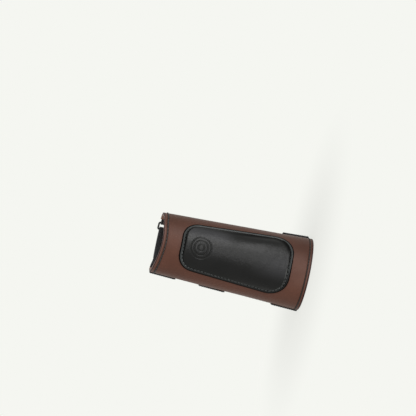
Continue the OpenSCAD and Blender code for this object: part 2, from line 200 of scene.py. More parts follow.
paper = tone(245, 246, 241)
scene.world = bpy.data.worlds.new("studio")
scene.world.use_nodes = True
air = Nodes(scene.world.node_tree)
sky = air.node("ShaderNodeTexCoord", output="Generated")
frontal = air.node("ShaderNodeVectorMath", {"operation": "DOT_PRODUCT"},
                   {0: sky, 1: bright_way}, "Value")
strength = air.node("ShaderNodeMapRange", inputs={
    "Value": frontal, "From Min": -1, "From Max": 1,
    "To Min": faint_light, "To Max": bright_light})
lit = air.node("ShaderNodeBackground", inputs={"Color": (1, 1, 1, 1), "Strength": strength})
shown = air.node("ShaderNodeBackground", inputs={"Color": paper})
air.node("ShaderNodeOutputWorld", inputs={"Surface": air.either(air.seen_directly(), lit, shown)})

floor_mesh = bpy.data.meshes.new("floor")
floor_mesh.from_pydata(
    [(floor_radius * math.cos(a), floor_radius * math.sin(a), -floor_drop)
     for a in np.linspace(0, 2 * math.pi, floor_corners, endpoint=False)],
    [], [list(range(floor_corners))])
floor = placed("floor", floor_mesh)
floor_paint = bpy.data.materials.new("floor")
floor_paint.use_nodes = True
ground = Nodes(floor_paint.node_tree)
far = ground.node("ShaderNodeVectorMath", {"operation": "LENGTH"}, {0: ground.place()}, "Value")
glow = far.step(shade_from, shade_to, shade, 1) * ground.seen_directly()
matt = ground.node("ShaderNodeBsdfDiffuse", inputs={"Color": paper})
bright = ground.node("ShaderNodeEmission", inputs={"Color": paper})
ground.node("ShaderNodeOutputMaterial", inputs={"Surface": ground.either(glow, matt, bright)})
floor_mesh.materials.append(floor_paint)


def soft_box(name, place, size, power):
    """A rectangular area lamp at a place, turned towards the middle of the guard."""
    lamp = bpy.data.lights.new(name, "AREA")
    lamp.shape, lamp.energy = "RECTANGLE", power
    lamp.size, lamp.size_y = size
    holder = placed(name, lamp)
    holder.location = place
    aim_at = Vector((0, 0, guard_len / 2)) - Vector(place)
    holder.rotation_euler = aim_at.to_track_quat("-Z", "Y").to_euler()


soft_box("high_box", (0.86, -1.11, 0.2), (0.54, 0.4), 7.4)
soft_box("front_box", (0.22, -1.39, 0.16), (0.6, 0.32), 3.6)


# Face leather. One tapered cut of smooth brown cowhide, 2 mm thick, bent round to a sleeve
# with its long edges open at the back. Its cut edges are rounded and dyed, and a seam groove
# runs all round it, 4 mm in.

wrist_w, wrist_d = 72.6 * mm, 57 * mm
elbow_w, elbow_d = 87.2 * mm, 76 * mm
panel_wrist_w, panel_elbow_w = 134 * mm, 156 * mm
wrist_dip, dip_half, dip_run = 4.8 * mm, 52 * mm, 50 * mm
seam_sinks, corner_seam_sinks, seam_run = 0.3 * mm, 0.9 * mm, 16 * mm
short_corner, corner_at, corner_run = 1.4 * mm, 20 * mm, 18 * mm
leather_t, edge_round = 2 * mm, 0.55 * mm
swell_waves = [(0.10 * mm, 19 * mm, 31 * mm, 0), (0.07 * mm, 11 * mm, -17 * mm, 1.3)]
swell_from, swell_run = 1 * mm, 12 * mm
seam_inset, seam_groove_w, seam_groove_d = 4.2 * mm, 1.5 * mm, 0.4 * mm
centre_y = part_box("leather_panel")[0].y + elbow_d / 2


def mix(a, b, f):
    return a + (b - a) * f


def ease(f):
    g = np.clip(f, 0, 1)
    return g * g * (3 - 2 * g)


def half_w(z):
    return mix(elbow_w, wrist_w, z / guard_len) / 2


def half_d(z):
    return mix(elbow_d, wrist_d, z / guard_len) / 2


def panel_half(z):
    return mix(panel_elbow_w, panel_wrist_w, z / guard_len) / 2


def flatness(z):
    return 1 - (half_d(z) / half_w(z)) ** 2


def level_way(x, y):
    size = np.hypot(x, y)
    return np.stack([x / size, y / size, 0 * x], -1)


def outward(t, z):
    """The way off the sleeve's face at angle t from the middle of the front."""
    return level_way(half_d(z) * np.sin(t), -half_w(z) * np.cos(t))


def along(t, z):
    """The way round the sleeve at angle t, towards growing angles."""
    return level_way(half_w(z) * np.cos(t), half_d(z) * np.sin(t))


def round_sleeve(t, h, z):
    """Points at angle t round the sleeve, h off its face and z up it."""
    t, h, z = np.broadcast_arrays(t, h, z)
    core = np.stack([half_w(z) * np.sin(t), centre_y - half_d(z) * np.cos(t), z], -1)
    return core + h[..., None] * outward(t, z)


def face_rate(t, z):
    """Length round the face per radian."""
    return half_w(z) * (1 - flatness(z) * np.sin(t) ** 2 / 2)


def face_angle(s, z):
    """The angle at a length s round the face from the middle of the front."""
    t = s / half_w(z)
    for _ in range(5):
        length = half_w(z) * (t * (1 - flatness(z) / 4) + flatness(z) * np.sin(2 * t) / 8)
        t = t - (length - s) / face_rate(t, z)
    return t


def on_face(s, h, z):
    """Points of a layer laid on the face: s round it, h off it, z up it."""
    return round_sleeve(face_angle(s, z), h, z)


def cut_z(s, z):
    """Where a row of the hide lies once the wrist end is cut hollow, a little shorter at the
    +X corner. The rows of the seam there run straighter than the cut."""
    near_wrist = ease((z - guard_len + dip_run) / (0.8 * dip_run))
    hollow = 1 - ease(np.abs(s) / dip_half)
    cut = wrist_dip * hollow + short_corner * ease((s - corner_at) / corner_run)
    inset = (guard_len - z) / seam_inset
    at_seam = np.clip(inset, 0, 1) * (1 - ease((inset - 1) * seam_inset / seam_run))
    return z - cut * near_wrist - mix(corner_seam_sinks, seam_sinks, hollow) * at_seam


def fine_at_edges(total, step, near):
    """Stops from 0 to total, at the distances near from both ends and by steps between."""
    near = np.array(near)
    count = max(2, round((total - 2 * near[-1]) / step))
    inner = np.linspace(near[-1], total - near[-1], count + 1)[1:-1]
    return np.concatenate([near, inner, total - near[::-1]])


def hold_ways(mesh, name, ways):
    """Keeps a vector with every point of a mesh."""
    mesh.attributes.new(name, "FLOAT_VECTOR", "POINT").data.foreach_set(
        "vector", np.ascontiguousarray(ways, float).ravel())


def make_piece(name, points, faces, flat, rim):
    """A closed mesh with its faces outwards. flat is each point's place on the uncut hide
    or band, in metres, and rim its distance from the nearest cut edge."""
    points = points.reshape(-1, 3)
    a, b, c, d = (points[faces[:, i]] for i in range(4))
    if (a * (np.cross(b, c) + np.cross(c, d))).sum() < 0:
        faces = faces[:, ::-1]
    mesh = bpy.data.meshes.new(name)
    mesh.from_pydata(points.tolist(), [], faces.tolist())
    mesh.shade_smooth()
    hold_ways(mesh, "flat", np.column_stack([flat, 0 * rim]))
    mesh.attributes.new("rim", "FLOAT", "POINT").data.foreach_set("value", rim)
    return placed(name, mesh)


def quads(rows, cols, first=0, wrap=False):
    """Faces of a grid of points, joined round its columns where it wraps."""
    r = np.arange(rows - 1)[:, None]
    c = np.arange(cols if wrap else cols - 1)[None, :]
    after = (c + 1) % cols
    corners = [r * cols + c, r * cols + after, (r + 1) * cols + after, (r + 1) * cols + c]
    return first + np.stack(corners, -1).reshape(-1, 4)


def slab(name, top, under, flat, rim):
    """A closed slab between two grids of points with the same rows and columns."""
    rows, cols = top.shape[:2]
    lower = rows * cols
    ring = np.concatenate([
        np.arange(cols), np.arange(1, rows) * cols + cols - 1,
        (rows - 1) * cols + np.arange(cols - 2, -1, -1), np.arange(rows - 2, 0, -1) * cols])
    after = np.roll(ring, -1)
    walls = np.stack([ring, ring + lower, after + lower, after], -1)
    faces = np.concatenate([quads(rows, cols), quads(rows, cols, lower)[:, ::-1], walls])
    return make_piece(name, np.stack([top, under]), faces,
                      np.tile(flat.reshape(-1, 2), (2, 1)), np.tile(rim.ravel(), 2))


def rounding(d, radius):
    """How far a face lies below its level at a distance d from a rounded edge."""
    short = np.clip(1 - d / radius, 0, 1)
    return radius * (1 - np.sqrt(1 - short ** 2))


def groove(d, middle, width, depth):
    """A soft channel along a line at a distance d."""
    return depth * np.exp(-((d - middle) / (width / 2.4)) ** 2)


edge_stops = [d * mm for d in (0, 0.05, 0.15, 0.3, 0.55, 1.2, 2.3)]
seam_stops = [seam_inset + f * seam_groove_w / 2 for f in (-1.2, -0.7, -0.35, 0, 0.35, 0.7, 1.2)]
hide_rows = fine_at_edges(guard_len, 1.7 * mm, edge_stops + seam_stops)
hide_cols = fine_at_edges(panel_elbow_w, 1.5 * mm, edge_stops + seam_stops)


def hide_grid(rows, cols, inset=0):
    """Flat places s and z of a grid cut to the panel's tapered outline, and the distance
    of each from the outline. Columns keep their distance from the long edges."""
    z = np.repeat(rows[:, None], len(cols), 1)
    half = panel_half(z) - inset
    from_left = cols[None, :] + 0 * z
    from_right = cols[-1] - from_left
    near = edge_stops[-1] + seam_inset
    by_edge = np.where(from_left < from_right, from_left - half, half - from_right)
    between = mix(near - half, half - near, (from_left - near) / (cols[-1] - 2 * near))
    s = np.where(np.minimum(from_left, from_right) <= near, by_edge, between)
    edge = np.minimum(np.minimum(z - rows[0], rows[-1] - z), half - np.abs(s))
    return s, z, np.maximum(edge, 0)


def layer(name, s, z, rim, upper, lower):
    """A layer of hide between two heights off the sleeve's face."""
    cut = cut_z(s, z)
    return slab(name, on_face(s, upper, cut), on_face(s, lower, cut), np.stack([s, z], -1), rim)


hide_s, hide_z, hide_rim = hide_grid(hide_rows, hide_cols)
swell = sum(high * np.sin(hide_s / round_len + hide_z / up_len + phase)
            for high, round_len, up_len, phase in swell_waves)
panel = layer(
    "face_leather", hide_s, hide_z, hide_rim,
    swell * ease((hide_rim - swell_from) / swell_run) - rounding(hide_rim, edge_round)
    - groove(hide_rim, seam_inset, seam_groove_w, seam_groove_d),
    rounding(hide_rim, edge_round / 2) - leather_t)


class Finish(Nodes):
    """One material. Its patterns lie on a piece's flat place or on its place in the object,
    and its colours are given as a picture holds them."""

    def __init__(self, name):
        self.material = bpy.data.materials.new(name)
        self.material.use_nodes = True
        super().__init__(self.material.node_tree)

    def held(self, name, output="Vector"):
        return self.node("ShaderNodeAttribute", {"attribute_name": name}, output=output)

    def parts(self, vector):
        split = self.node("ShaderNodeSeparateXYZ", inputs={0: vector})
        return [split.other(axis) for axis in "XYZ"]

    def laid_out(self):
        """The flat place, and in millimetres the place round and up and the distance to the
        nearest cut edge."""
        flat = self.held("flat")
        side, up, _ = self.parts(flat)
        return flat, side * 1000, up * 1000, self.held("rim", "Fac") * 1000

    def noise(self, where, per_metre, detail=2.0, rough=0.5):
        return self.node("ShaderNodeTexNoise", inputs={
            "Vector": where, "Scale": per_metre, "Detail": detail, "Roughness": rough})

    def blend(self, share, a, b):
        a, b = (v if isinstance(v, Wire) else tone(*v) for v in (a, b))
        return self.node("ShaderNodeMix", {"data_type": "RGBA"}, {0: share, 6: a, 7: b}, 2)

    def dyed(self, value, low, high, dark, light, coats=()):
        """From dark to light as a value rises, under coats of a share and a colour each."""
        dye = self.blend(value.step(low, high), dark, light)
        for share, colour in coats:
            dye = self.blend(share, dye, colour)
        return dye

    def raised(self, height, depth, under=None):
        inputs = {"Height": height, "Distance": depth}
        if under is not None:
            inputs["Normal"] = under
        return self.node("ShaderNodeBump", inputs=inputs)

    def grain(self, flat, pores, specks, speck_share, depth, waves, wave_depth):
        """The surface of smooth leather: pores and fine specks on shallow waves."""
        cells = self.node("ShaderNodeTexVoronoi", {"feature": "SMOOTH_F1"},
                          {"Vector": flat, "Scale": pores}, "Distance")
        fine = self.raised(cells + self.noise(flat, specks) * speck_share, depth)
        return self.raised(self.noise(flat, waves, 3), wave_depth, fine)

    def shader(self, **sockets):
        named = {key.replace("_", " "): value for key, value in sockets.items()}
        return self.node("ShaderNodeBsdfPrincipled", inputs=named)

    def shown_by(self, shader):
        self.node("ShaderNodeOutputMaterial", inputs={"Surface": shader})
        return self.material

    def surface(self, **sockets):
        return self.shown_by(self.shader(**sockets))


def brown_leather():
    """Smooth brown leather: clouded and flecked, with painted shade towards the +X side and
    painted light towards the -X side, a painted highlight near the elbow end, worn near the
    edge, with painted shade in the seam groove, and stained on the cut."""
    finish = Finish("brown_leather")
    flat, side, up, rim = finish.laid_out()
    cloud, fleck = finish.noise(flat, 28, 3), finish.noise(flat, 420)
    # A painted highlight: a pale patch over the middle near the elbow end.
    elbow_highlight = up.step(45, 4) * cloud.step(0.2, 0.6, 0.6, 1) * (side + 6).size().step(26, 4)
    worn = rim.step(1.2, 2.4, 1, 0) * up.step(120, 170, 0.1, 0.4)
    # Painted shade in the seam groove.
    seam_groove_shade = (rim - seam_inset / mm).size().step(1.3, 0.6)
    stained = rim - up.step(60, 20, 0, 0.8)
    # The coats on the two sides are painted shade on the +X side and painted light on the -X
    # side.
    dye = finish.dyed(cloud, 0.3, 0.7, (81, 50, 39), (91, 58, 46), [
        (fleck.step(0.45, 0.8, 0, 0.25), (68, 44, 37)),
        (side.step(6, 32) * 0.5, (58, 36, 28)),
        (side.step(-12, -30) * 0.3, (104, 67, 54)),
        (elbow_highlight * 0.28, (128, 98, 88)),
        (worn, (122, 90, 80)),
        (seam_groove_shade * 0.85, (34, 23, 20)),
        (stained.step(0.5, 1.3, 1, 0), (52, 25, 23))])
    return finish.surface(
        Base_Color=dye, Roughness=(cloud + 0.3 * fleck).step(0.4, 0.9, 0.42, 0.5),
        Normal=finish.grain(flat, 1150, 2600, 0.5, 0.07 * mm, 150, 0.25 * mm),
        Specular_IOR_Level=0.17)


def dress(piece, material, nodes=(), body="sleeve"):
    """Gives a finished piece its material, and the body and nodes it stands for. A piece without
    a body of its own rides on no body."""
    piece.data.materials.clear()
    piece.data.materials.append(material)
    if body:
        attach(piece, body)
    if nodes:
        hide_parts(*nodes)


dress(panel, brown_leather(), ["leather_panel"])


# Lining. Thin tan suede on the inner side, cut a little smaller than the face leather and
# held by the same seam, so that its raw edge stays hidden behind the long edges.

lining_t, lining_inset, layer_gap = 1 * mm, 0.8 * mm, 0.15 * mm
lining_face = -leather_t - layer_gap
inner_face = lining_face - lining_t

suede_rows = fine_at_edges(guard_len, 2.4 * mm, edge_stops[:5])
suede_cols = fine_at_edges(panel_elbow_w, 2.4 * mm, edge_stops)
suede_s, suede_z, suede_rim = hide_grid(suede_rows, suede_cols, lining_inset)
nap_swell = 0.12 * mm * np.sin(suede_s / (7 * mm)) * np.sin(suede_z / (9 * mm) + 0.6)
lining = layer(
    "suede_lining", suede_s, suede_z, suede_rim, lining_face - rounding(suede_rim, 0.25 * mm),
    inner_face + rounding(suede_rim, 0.4 * mm)
    + np.maximum(nap_swell, 0) * ease(suede_rim / (6 * mm)))


def tan_suede():
    finish = Finish("tan_suede")
    flat = finish.held("flat")
    cloud, nap = finish.noise(flat, 45, 4), finish.noise(flat, 1900, 4, 0.7)
    dye = finish.dyed(cloud, 0.3, 0.7, (140, 99, 78), (164, 121, 97), [
        (nap.step(0.35, 0.75, 0, 0.4), (116, 78, 61))])
    return finish.surface(Base_Color=dye, Roughness=0.95, Normal=finish.raised(nap, 0.25 * mm),
                          Sheen_Weight=0.35, Sheen_Roughness=0.5)


dress(lining, tan_suede(), ["lining"])


# Seam. One row of black waxed thread round the whole panel holds leather and lining together,
# in a thicker thread across the wrist end. It lies in the groove, dipping into a hole after
# every stitch. Its rows stop just short of the straps and tabs that cover it.

stitch_pitch, stitch_len, seam_clear = 4.2 * mm, 3.3 * mm, 1.5 * mm
wrist_thread, seam_thread = 1.6 * mm, 0.9 * mm
thread_h = seam_thread / 2 - seam_groove_d
strap_w, strap_lap, strap_from_end = 32 * mm, 12 * mm, 3.2 * mm
strap_leans = {"wrist": 2.8 * mm, "middle": 0, "elbow": -2.8 * mm}
strap_places = {
    "wrist": guard_len - strap_from_end - strap_w / 2,
    "middle": guard_len - 77 * mm,
    "elbow": strap_from_end + strap_w / 2}
tab_laps = {"wrist": 7 * mm, "middle": 7 * mm, "elbow": 13 * mm}


class Grower(Nodes):
    """A geometry tree that takes a guide mesh, named sizes and a material, and plants one
    small tube on every point of the guide."""

    def __init__(self, name, sizes):
        super().__init__(bpy.data.node_groups.new(name, "GeometryNodeTree"))
        sockets = self.tree.interface
        for label, kind in [("Geometry", "Geometry"), *[(size, "Float") for size in sizes],
                            ("Material", "Material")]:
            sockets.new_socket(label, in_out="INPUT", socket_type="NodeSocket" + kind)
        sockets.new_socket("Geometry", in_out="OUTPUT", socket_type="NodeSocketGeometry")
        self.given = self.node("NodeGroupInput")

    def way(self, name):
        """A direction that the guide holds."""
        return self.node("GeometryNodeInputNamedAttribute", {"data_type": "FLOAT_VECTOR"},
                         {"Name": name}, "Attribute")

    def bow(self, kind, size, **points):
        """A short curve by points that are given as x and z in shares of a size."""
        spots = {label.replace("_", " "): self.node(
            "ShaderNodeCombineXYZ", inputs={"X": size * x, "Z": size * z})
            for label, (x, z) in points.items()}
        return self.node(kind, inputs={"Resolution": 5, **spots})

    def planted(self, points, path, sides, leading):
        """Ends the tree: a closed tube along a path on every point, standing off the surface
        and turned to leading."""
        ring = self.node("GeometryNodeCurvePrimitiveCircle", {"mode": "RADIUS"},
                         {"Resolution": sides, "Radius": self.given.other("Radius")})
        tube = self.node("GeometryNodeCurveToMesh", inputs={
            "Curve": path, "Profile Curve": ring, "Fill Caps": True})
        turned = self.node("FunctionNodeAxesToRotation",
                           {"primary_axis": "Z", "secondary_axis": "X"},
                           {0: self.way("off"), 1: leading})
        each = self.node("GeometryNodeInstanceOnPoints", inputs={
            "Points": points, "Instance": tube, "Rotation": turned})
        solid = self.node("GeometryNodeRealizeInstances", inputs={0: each})
        smooth = self.node("GeometryNodeSetShadeSmooth", inputs={"Geometry": solid})
        dyed = self.node("GeometryNodeSetMaterial", inputs={
            "Geometry": smooth, "Material": self.given.other("Material")})
        self.node("NodeGroupOutput", inputs={"Geometry": dyed})


stitches = Grower("stitches", ["Pitch", "Length", "Radius"])
line = stitches.node("GeometryNodeMeshToCurve", inputs={0: stitches.given})
steps = stitches.node("GeometryNodeResampleCurve", {"mode": "LENGTH"}, {
    "Curve": line, "Length": stitches.given.other("Pitch")})
stitch = stitches.bow("GeometryNodeCurveQuadraticBezier", stitches.given.other("Length"),
                      Start=(-0.5, -0.07), Middle=(0, 0.16), End=(0.5, -0.07))
stitches.planted(steps, stitch, 6, stitches.node("GeometryNodeInputTangent"))


def worked_mesh(piece):
    """The mesh of a piece with its modifiers run."""
    return bpy.data.meshes.new_from_object(
        piece.evaluated_get(bpy.context.evaluated_depsgraph_get()))


def settle(piece):
    """Applies the modifiers of a piece."""
    plain = worked_mesh(piece)
    piece.modifiers.clear()
    piece.data = plain


def grown(name, mesh, shape, sizes, material, body="sleeve"):
    """Runs a geometry tree on a guide mesh and keeps the result as a plain, dressed piece."""
    piece = placed(name, mesh)
    run = piece.modifiers.new(shape.tree.name, "NODES")
    run.node_group = shape.tree
    values = {**sizes, "Material": material}
    for item in shape.tree.interface.items_tree:
        if item.in_out == "INPUT" and item.name in values:
            run[item.identifier] = values[item.name]
    settle(piece)
    dress(piece, material, body=body)


def guide(name, lines, closed):
    """A mesh of plain lines. Each line is its points and the ways off the surface there."""
    edges, first = [], 0
    for place, _ in lines:
        count = len(place)
        edges += [(first + i, first + (i + 1) % count) for i in range(count - (not closed))]
        first += count
    mesh = bpy.data.meshes.new(name)
    mesh.from_pydata(np.concatenate([p for p, _ in lines]).tolist(), edges, [])
    hold_ways(mesh, "off", np.concatenate([o for _, o in lines]))
    return mesh


def sewn(name, lines, closed, pitch, length, thick, thread, slot, body="sleeve"):
    """Stitches of one thread along lines, as a piece of its own."""
    grown(name, guide(name, lines, closed), stitches,
          {"Pitch": pitch, "Length": length, "Radius": thick / 2}, thread, body)


def sewn_line(s, h, z):
    """Points of a seam on the sleeve's face and the ways off it there."""
    s, h, z = np.broadcast_arrays(s, h, z)
    return on_face(s, h, z), outward(face_angle(s, z), z)


def end_seam(z):
    """The row across one end, from the tab's lap to the strap's lap."""
    tab_lap = tab_laps["wrist" if z > guard_len / 2 else "elbow"]
    s = np.linspace(panel_half(z) - tab_lap - seam_clear,
                    strap_lap + seam_clear - panel_half(z), 160)
    return sewn_line(s, thread_h, cut_z(s, z))


def side_seam(side, low, high):
    """The row along a long edge between two straps."""
    clear = strap_w / 2 + seam_clear
    z = np.linspace(strap_places[low] + clear, strap_places[high] - clear, 40)
    return sewn_line(side * (panel_half(z) - seam_inset), thread_h, z)


def thread_finish(name, dark, light, rough, plus_x_dark=None):
    """Twisted thread: two tones in the turns of its lay. A thread with a painted sheen may fade
    to dark on the +X side.
    """
    finish = Finish(name)
    place = finish.place()
    lay = finish.noise(place, 2400)
    plus_x_darkening = [(finish.parts(place)[0].step(-12 * mm, 8 * mm), plus_x_dark)] if plus_x_dark else []
    return finish.surface(Base_Color=finish.dyed(lay, 0.35, 0.65, dark, light, plus_x_darkening),
                          Roughness=rough, Normal=finish.raised(lay, 0.12 * mm))


black_thread = thread_finish("black_thread", (24, 21, 20), (50, 44, 41), 0.55)
seam_lines = [end_seam(seam_inset)]
for side in (-1, 1):
    seam_lines += [side_seam(side, "middle", "wrist"), side_seam(side, "elbow", "middle")]
for name, lines, thick in (
        ("seam_thread", seam_lines, seam_thread),
        ("wrist_seam_thread", [end_seam(guard_len - seam_inset)], wrist_thread)):
    sewn(name, lines, False, stitch_pitch, stitch_len, thick, black_thread, "black_leather")


# Patch. A black leather cover over a foam pad. Its flat rim is sewn down in a groove, and the
# middle stands puffed over the foam, with three plain rings pressed into it near the wrist.

patch_high, patch_low = guard_len - 26.8 * mm, 22.6 * mm
patch_wrist_w, patch_elbow_w = 57 * mm, 80 * mm
patch_wrist_r, patch_elbow_r = 20 * mm, 23 * mm
cover_t, rim_w, groove_w = 1.2 * mm, 2.8 * mm, 1.8 * mm
wall_h, wall_run, wall_fullness = 0.55 * mm, 1.2 * mm, 2.2
elbow_dome, wrist_dome = (3.3 * mm, 13 * mm, 1.9), (1.6 * mm, 22 * mm, 1.5)
dome_change, change_run = 50 * mm, 70 * mm
end_fall, end_run, end_fullness = 0.5 * mm, 14 * mm, 1.9
rim_h = layer_gap + cover_t
patch_slope = math.atan((patch_elbow_w - patch_wrist_w) / 2 / (patch_high - patch_low))
slope_cos, slope_sin = math.cos(patch_slope), math.sin(patch_slope)
patch_side = patch_wrist_w / 2 * slope_cos + patch_high * slope_sin
end_count, side_count, arc_points = 22, 46, 12


def patch_corner(d, end_w, radius):
    """The radius of a corner at an inset d, kept within shares of the half width left."""
    left = end_w / 2 - d
    return min(max(radius - d, left * 0.5), left * 0.9)


def length_along(points):
    """The length of a line of points up to each of them."""
    return np.concatenate([[0], np.cumsum(np.linalg.norm(np.diff(points, axis=0), axis=1))])


def evenly(points, count):
    """A line of points again with even steps, without its last point."""
    run = length_along(points)
    at = np.linspace(0, run[-1], count + 1)[:-1]
    return np.stack([np.interp(at, run, points[:, i]) for i in range(2)], -1)


def patch_loop(d):
    """The patch's outline at an inset d as s and z: wrist end, one side, elbow end, the other.
    Each stretch begins in the middle of a corner."""
    r1 = patch_corner(d, patch_wrist_w, patch_wrist_r)
    r2 = patch_corner(d, patch_elbow_w, patch_elbow_r)
    z1, z2 = patch_high - d - r1, patch_low + d + r2
    x1, x2 = ((patch_side - d - r - z * slope_sin) / slope_cos for r, z in ((r1, z1), (r2, z2)))

    def arc(x, z, radius, a, b):
        turn = np.linspace(a, b, arc_points)
        return np.stack([x + radius * np.cos(turn), z + radius * np.sin(turn)], -1)

    up, flip = math.pi / 2, np.array([-1, 1])
    mid1, mid2 = (patch_slope + up) / 2, (patch_slope - up) / 2
    wrist_half, elbow_half = arc(x1, z1, r1, up, mid1), arc(x2, z2, r2, mid2, -up)
    wrist_end = np.concatenate([wrist_half[::-1] * flip, wrist_half])
    flank = np.concatenate([arc(x1, z1, r1, mid1, patch_slope),
                            arc(x2, z2, r2, patch_slope, mid2)])
    elbow_end = np.concatenate([elbow_half, elbow_half[::-1] * flip])
    return np.concatenate([evenly(wrist_end, end_count), evenly(flank, side_count),
                           evenly(elbow_end, end_count), evenly(flank[::-1] * flip, side_count)])


def loop_sides(loop):
    """The rows of a loop: wrist end, right side, elbow end and left side, each from the wrist
    end down or left to right."""
    n, m = end_count, side_count
    left = np.concatenate([loop[2 * n + m:], loop[:1]])[::-1]
    return loop[:n + 1], loop[n:n + m + 1], loop[n + m:2 * n + m + 1][::-1], left


def patch_middle(loop):
    """The points within a loop, as a grid from the wrist end down, left to right."""
    top, right, bottom, left = loop_sides(loop)
    u = np.linspace(0, 1, side_count + 1)[:, None, None]
    v = np.linspace(0, 1, end_count + 1)[None, :, None]
    edges = mix(top[None], bottom[None], u) + mix(left[:, None], right[:, None], v)
    return edges - mix(mix(top[0], top[-1], v), mix(bottom[0], bottom[-1], v), u)


def swollen(share, fullness):
    return 1 - (1 - np.clip(share, 0, 1)) ** fullness


def crown(d, places):
    """Height of the puffed middle at an inset d: a low wall past the groove, then a
    dome that rises from the long sides, steeper in the elbow half."""
    start = rim_w + groove_w
    s, z = places[:, 0], places[:, 1]
    to_side = patch_side - z * slope_sin - np.abs(s) * slope_cos - start
    near_wrist = ease((z - dome_change) / change_run)
    high, run, full = (mix(a, b, near_wrist) for a, b in zip(elbow_dome, wrist_dome))
    dome = high * swollen(to_side / run, full)
    fall = end_fall * (1 - swollen((patch_high - z - start) / end_run, end_fullness))
    return rim_h + (wall_h + dome - fall) * swollen((d - start) / wall_run, wall_fullness)


outline = patch_loop(0)


def inset_of(places):
    """Distance of flat places from the patch's outline."""
    way = np.roll(outline, -1, 0) - outline
    gap = places[..., None, :] - outline
    share = np.clip((gap * way).sum(-1) / (way ** 2).sum(-1), 0, 1)
    return np.linalg.norm(gap - share[..., None] * way, axis=-1).min(-1)


sole = [(d * mm, layer_gap) for d in (12, 6, 1.4, 0.2)]
rim_bead = [(d * mm, rim_h - h * mm) for d, h in (
    (0, 1.05), (0, 0.55), (0.25, 0.22), (0.7, 0.04), (1.3, 0), (1.9, 0.06), (2.4, 0.22))]
channel = [(d * mm, rim_h - h * mm) for d, h in (
    (2.8, 0.5), (3.2, 0.72), (3.7, 0.8), (4.15, 0.66), (4.5, 0.2))]
swelling = [(d * mm, None) for d in (4.75, 5.1, 5.6, 6.3, 7.4, 9.2, 12)]
profile = sole + rim_bead + channel + swelling

around = 2 * (end_count + side_count)
loops = [patch_loop(d) for d, _ in profile]
flat_places = np.concatenate(loops)
heights = np.concatenate([crown(d, loop) if h is None else np.full(around, h)
                          for (d, h), loop in zip(profile, loops)])
insets = np.repeat([d for d, _ in profile], around)
faces = [quads(len(profile), around, wrap=True)]
n, m = end_count, side_count
for loop_at, below in ((0, True), (len(profile) - 1, False)):
    index = np.zeros((m + 1, n + 1), int)
    own = np.arange(around) + loop_at * around
    index[0], index[:, n], index[m], index[:, 0] = loop_sides(own)
    index[1:m, 1:n] = len(flat_places) + np.arange((m - 1) * (n - 1)).reshape(m - 1, n - 1)
    cell = np.stack([index[:-1, :-1], index[1:, :-1], index[1:, 1:], index[:-1, 1:]], -1)
    faces.append((cell if below else cell[..., ::-1]).reshape(-1, 4))
    inner = patch_middle(loops[loop_at])[1:m, 1:n].reshape(-1, 2)
    d = inset_of(inner)
    flat_places = np.concatenate([flat_places, inner])
    insets = np.concatenate([insets, d])
    heights = np.concatenate([heights, 0 * d + layer_gap if below else crown(d, inner)])
patch = make_piece("padded_patch", on_face(flat_places[:, 0], heights, flat_places[:, 1]),
                   np.concatenate(faces), flat_places, insets)


def vectors(items, name):
    """A vector of every item as rows, such as the place or the normal of every point."""
    values = np.zeros(len(items) * 3)
    items.foreach_get(name, values)
    return values.reshape(-1, 3)


def blown_up(piece, free, pressure, cap, frames):
    """Cloth simulation of a closed cover: pressure swells it where it is free, up to a cap."""
    held = piece.vertex_groups.new(name="held")
    for i, share in enumerate(free):
        held.add([i], 1 - float(share), "REPLACE")
    cloth = piece.modifiers.new("cover", "CLOTH")
    stuff = cloth.settings
    stuff.quality, stuff.mass, stuff.vertex_group_mass = 8, 0.05, "held"
    stuff.tension_stiffness = stuff.compression_stiffness = 20
    stuff.bending_stiffness = 1
    stuff.use_pressure, stuff.uniform_pressure_force = True, pressure
    stuff.effector_weights.gravity = 0
    cloth.point_cache.frame_start, cloth.point_cache.frame_end = 1, frames
    for frame_at in range(1, frames + 1):
        scene.frame_set(frame_at)
    full = worked_mesh(piece)
    scene.frame_set(1)
    piece.modifiers.clear()
    piece.vertex_groups.clear()
    before = vectors(piece.data.vertices, "co")
    move = vectors(full.vertices, "co") - before
    length = np.linalg.norm(move, axis=1, keepdims=True)
    move *= np.minimum(1, cap / np.maximum(length, 1e-9)) * free[:, None]
    piece.data.vertices.foreach_set("co", (before + move).ravel())
    bpy.data.meshes.remove(full)


on_top = heights > rim_h + wall_h / 2
blown_up(patch, np.where(on_top, ease((insets - 5 * mm) / (8 * mm)), 0),
         pressure=4, cap=0.5 * mm, frames=20)
soft = patch.modifiers.new("soft", "SUBSURF")
soft.levels = soft.render_levels = 2
settle(patch)

ring_place, ring_radii = 132.3 * mm, (12 * mm, 8.2 * mm, 3.6 * mm)
ring_w, ring_d = 1.2 * mm, 0.5 * mm
wrinkles = [(-22 * mm, 33 * mm, 0.4), (-26.5 * mm, 36 * mm, 0.25), (-30 * mm, 34.5 * mm, 0.5)]
wrinkle_len, wrinkle_w, wrinkle_d = 5 * mm, 1.8 * mm, 0.25 * mm

patch_s, patch_z = vectors(patch.data.attributes["flat"].data, "vector")[:, :2].T
off = outward(face_angle(patch_s, patch_z), patch_z)
topside = (vectors(patch.data.vertices, "normal") * off).sum(1) > 0.3
ring_gap = np.hypot(patch_s, patch_z - ring_place)
relief = -sum(groove(ring_gap, radius, ring_w, ring_d) for radius in ring_radii)
for s, z, slant in wrinkles:
    up = patch_z - z
    relief -= groove(patch_s - s - slant * up, 0, wrinkle_w, wrinkle_d) * ease(
        1.6 - np.abs(up) / wrinkle_len)
moved = vectors(patch.data.vertices, "co") + off * (relief * topside)[:, None]
patch.data.vertices.foreach_set("co", moved.ravel())
patch.data.shade_smooth()


